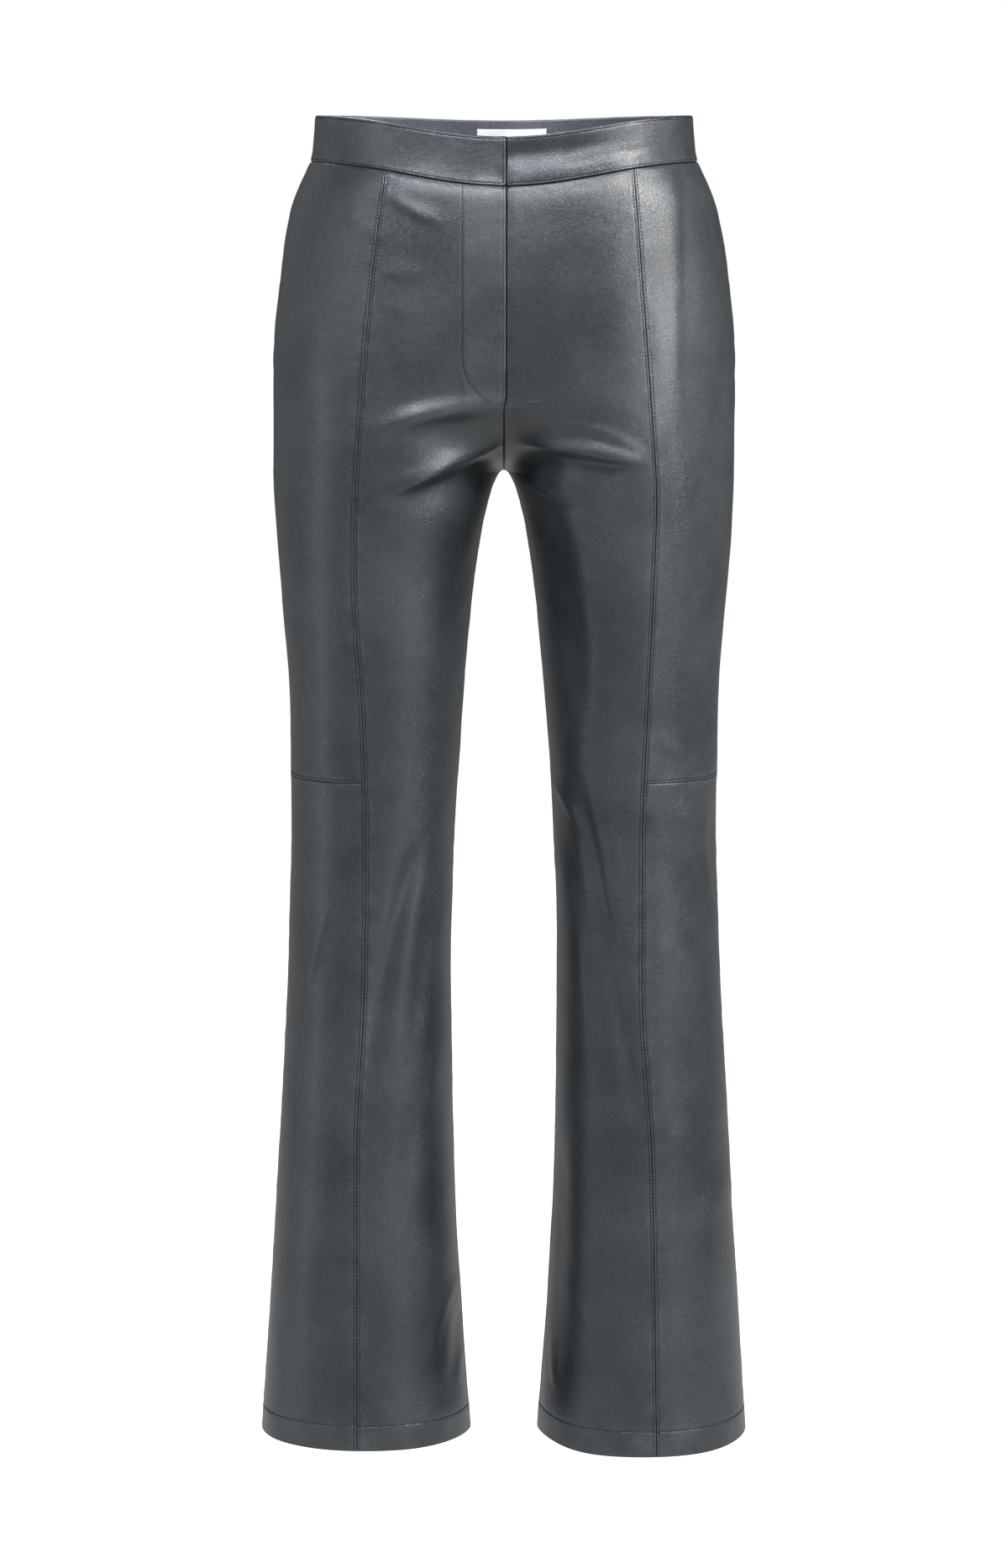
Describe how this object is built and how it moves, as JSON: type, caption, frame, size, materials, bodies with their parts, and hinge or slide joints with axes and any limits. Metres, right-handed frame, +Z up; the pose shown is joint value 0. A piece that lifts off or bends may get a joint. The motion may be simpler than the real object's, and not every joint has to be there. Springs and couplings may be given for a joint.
{
  "type": "leather trousers",
  "caption": "Women's mid-rise leather trousers with a contoured waistband, fly, long front seams, knee seams and flared legs, shown hollow as worn.",
  "frame": {"origin": "middle of the waist opening, level with the waistband's upper edge at the sides", "axes": "+Z up along the body, from the hems to the waist; -Y to the front; +X to the wearer's left"},
  "size_m": [0.3904, 0.2539, 1.0561],
  "materials": {
    "leather": "smooth, soft sheen",
    "lining": "matt twill",
    "label": "matt woven tape"
  },
  "bodies": {
    "root": {"waistband_front_right": "leather", "front_centre_right": "leather", "front_side_upper_right": "leather", "front_side_lower_right": "leather", "back_right": "leather", "pocket_facing_right": "leather", "waistband_front_left": "leather", "front_centre_left": "leather", "front_side_upper_left": "leather", "front_side_lower_left": "leather", "back_left": "leather", "pocket_facing_left": "leather", "waistband_back": "leather", "fly_underlap": "lining", "label": "label"}
  },
  "joints": []
}
